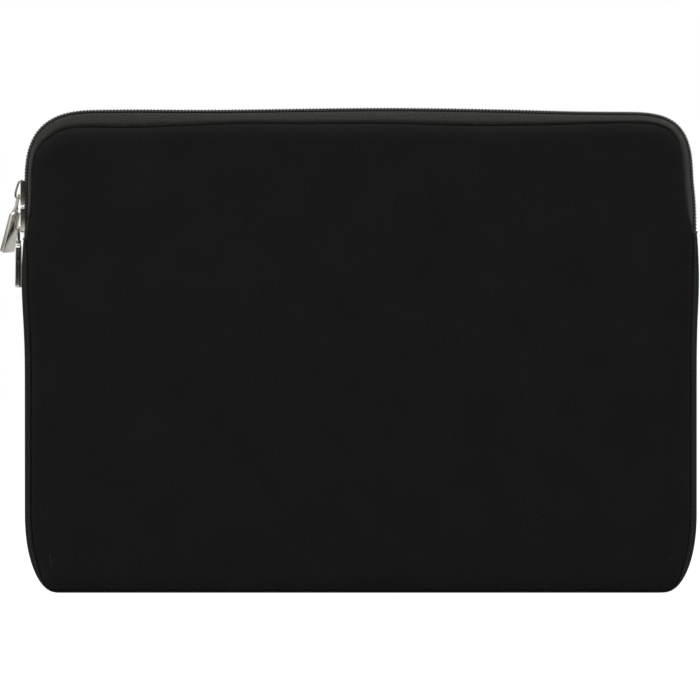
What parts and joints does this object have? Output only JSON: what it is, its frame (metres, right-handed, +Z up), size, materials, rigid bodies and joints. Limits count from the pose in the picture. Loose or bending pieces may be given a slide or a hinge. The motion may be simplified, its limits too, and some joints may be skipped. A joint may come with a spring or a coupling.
{
  "type": "laptop sleeve",
  "caption": "Upright padded neoprene laptop sleeve with rounded corners, a two-way coil zip over the top and upper sides, and a woven edge strip below.",
  "frame": {"origin": "centre of the flat bottom of the sleeve, where it stands", "axes": "+X along the width to the right, -Y out of the front face, +Z up the sleeve"},
  "size_m": [0.404, 0.0249, 0.2784],
  "materials": {
    "neoprene": "matte black jersey-faced neoprene",
    "lining": "soft short-pile lining",
    "gusset": "herringbone woven tape",
    "zip_tape": "woven polyester zip tape",
    "zip_coil": "satin nylon coil",
    "binding": "ribbed binding tape",
    "nickel": "polished nickel plate"
  },
  "bodies": {
    "root": {"back_panel": "neoprene", "back_lining": "lining", "front_panel_lower": "neoprene", "front_lining_lower": "lining", "gusset_strip": "gusset", "zip_tape_back": "zip_tape", "coil_back": "zip_coil", "zip_tape_front_end": "zip_tape", "coil_front_end": "zip_coil", "zip_stop_left": "zip_coil", "zip_stop_right": "zip_coil", "zip_end_tab_left": "binding", "zip_end_tab_right": "binding", "seam_binding_back": "binding", "seam_binding_front_lower": "binding"},
    "flap": {"front_panel_flap": "neoprene", "front_lining_flap": "lining", "zip_tape_front_flap": "zip_tape", "coil_front_flap": "zip_coil", "seam_binding_front_flap": "binding"},
    "slider_upper": {"slider_upper_body": "nickel", "slider_upper_crown": "nickel"},
    "pull_upper": {"pull_ring_upper": "nickel", "pull_tab_upper": "nickel"},
    "slider_lower": {"slider_lower_body": "nickel", "slider_lower_crown": "nickel"},
    "pull_lower": {"pull_ring_lower": "nickel", "pull_tab_lower": "nickel"}
  },
  "joints": [
    {"name": "flap_fold", "type": "hinge", "parent": "root", "child": "flap", "pos_m": [0, -0.011, 0.2242], "axis": [0.9967, 0, -0.0808], "range_deg": [0, 75], "stiffness_Nm_per_rad": 0.05},
    {"name": "slider_upper_run", "type": "hinge", "parent": "root", "child": "slider_upper", "pos_m": [-0.148, 0, 0.232], "axis": [0, 1, 0], "range_deg": [0, 90]},
    {"name": "slider_lower_slide", "type": "slide", "parent": "root", "child": "slider_lower", "axis": [0, 0, 1], "range_m": [-0.003, 0]},
    {"name": "pull_upper_swing", "type": "hinge", "parent": "slider_upper", "child": "pull_upper", "pos_m": [-0.1973, 0, 0.2289], "axis": [0, 1, 0], "range_deg": [0, 130]},
    {"name": "pull_lower_swing", "type": "hinge", "parent": "slider_lower", "child": "pull_lower", "pos_m": [-0.1973, 0, 0.2104], "axis": [0, 1, 0], "range_deg": [0, 130]}
  ],
  "couplings": [
    {"joint": "pull_lower_swing", "follows": "pull_upper_swing", "ratio": 1}
  ]
}
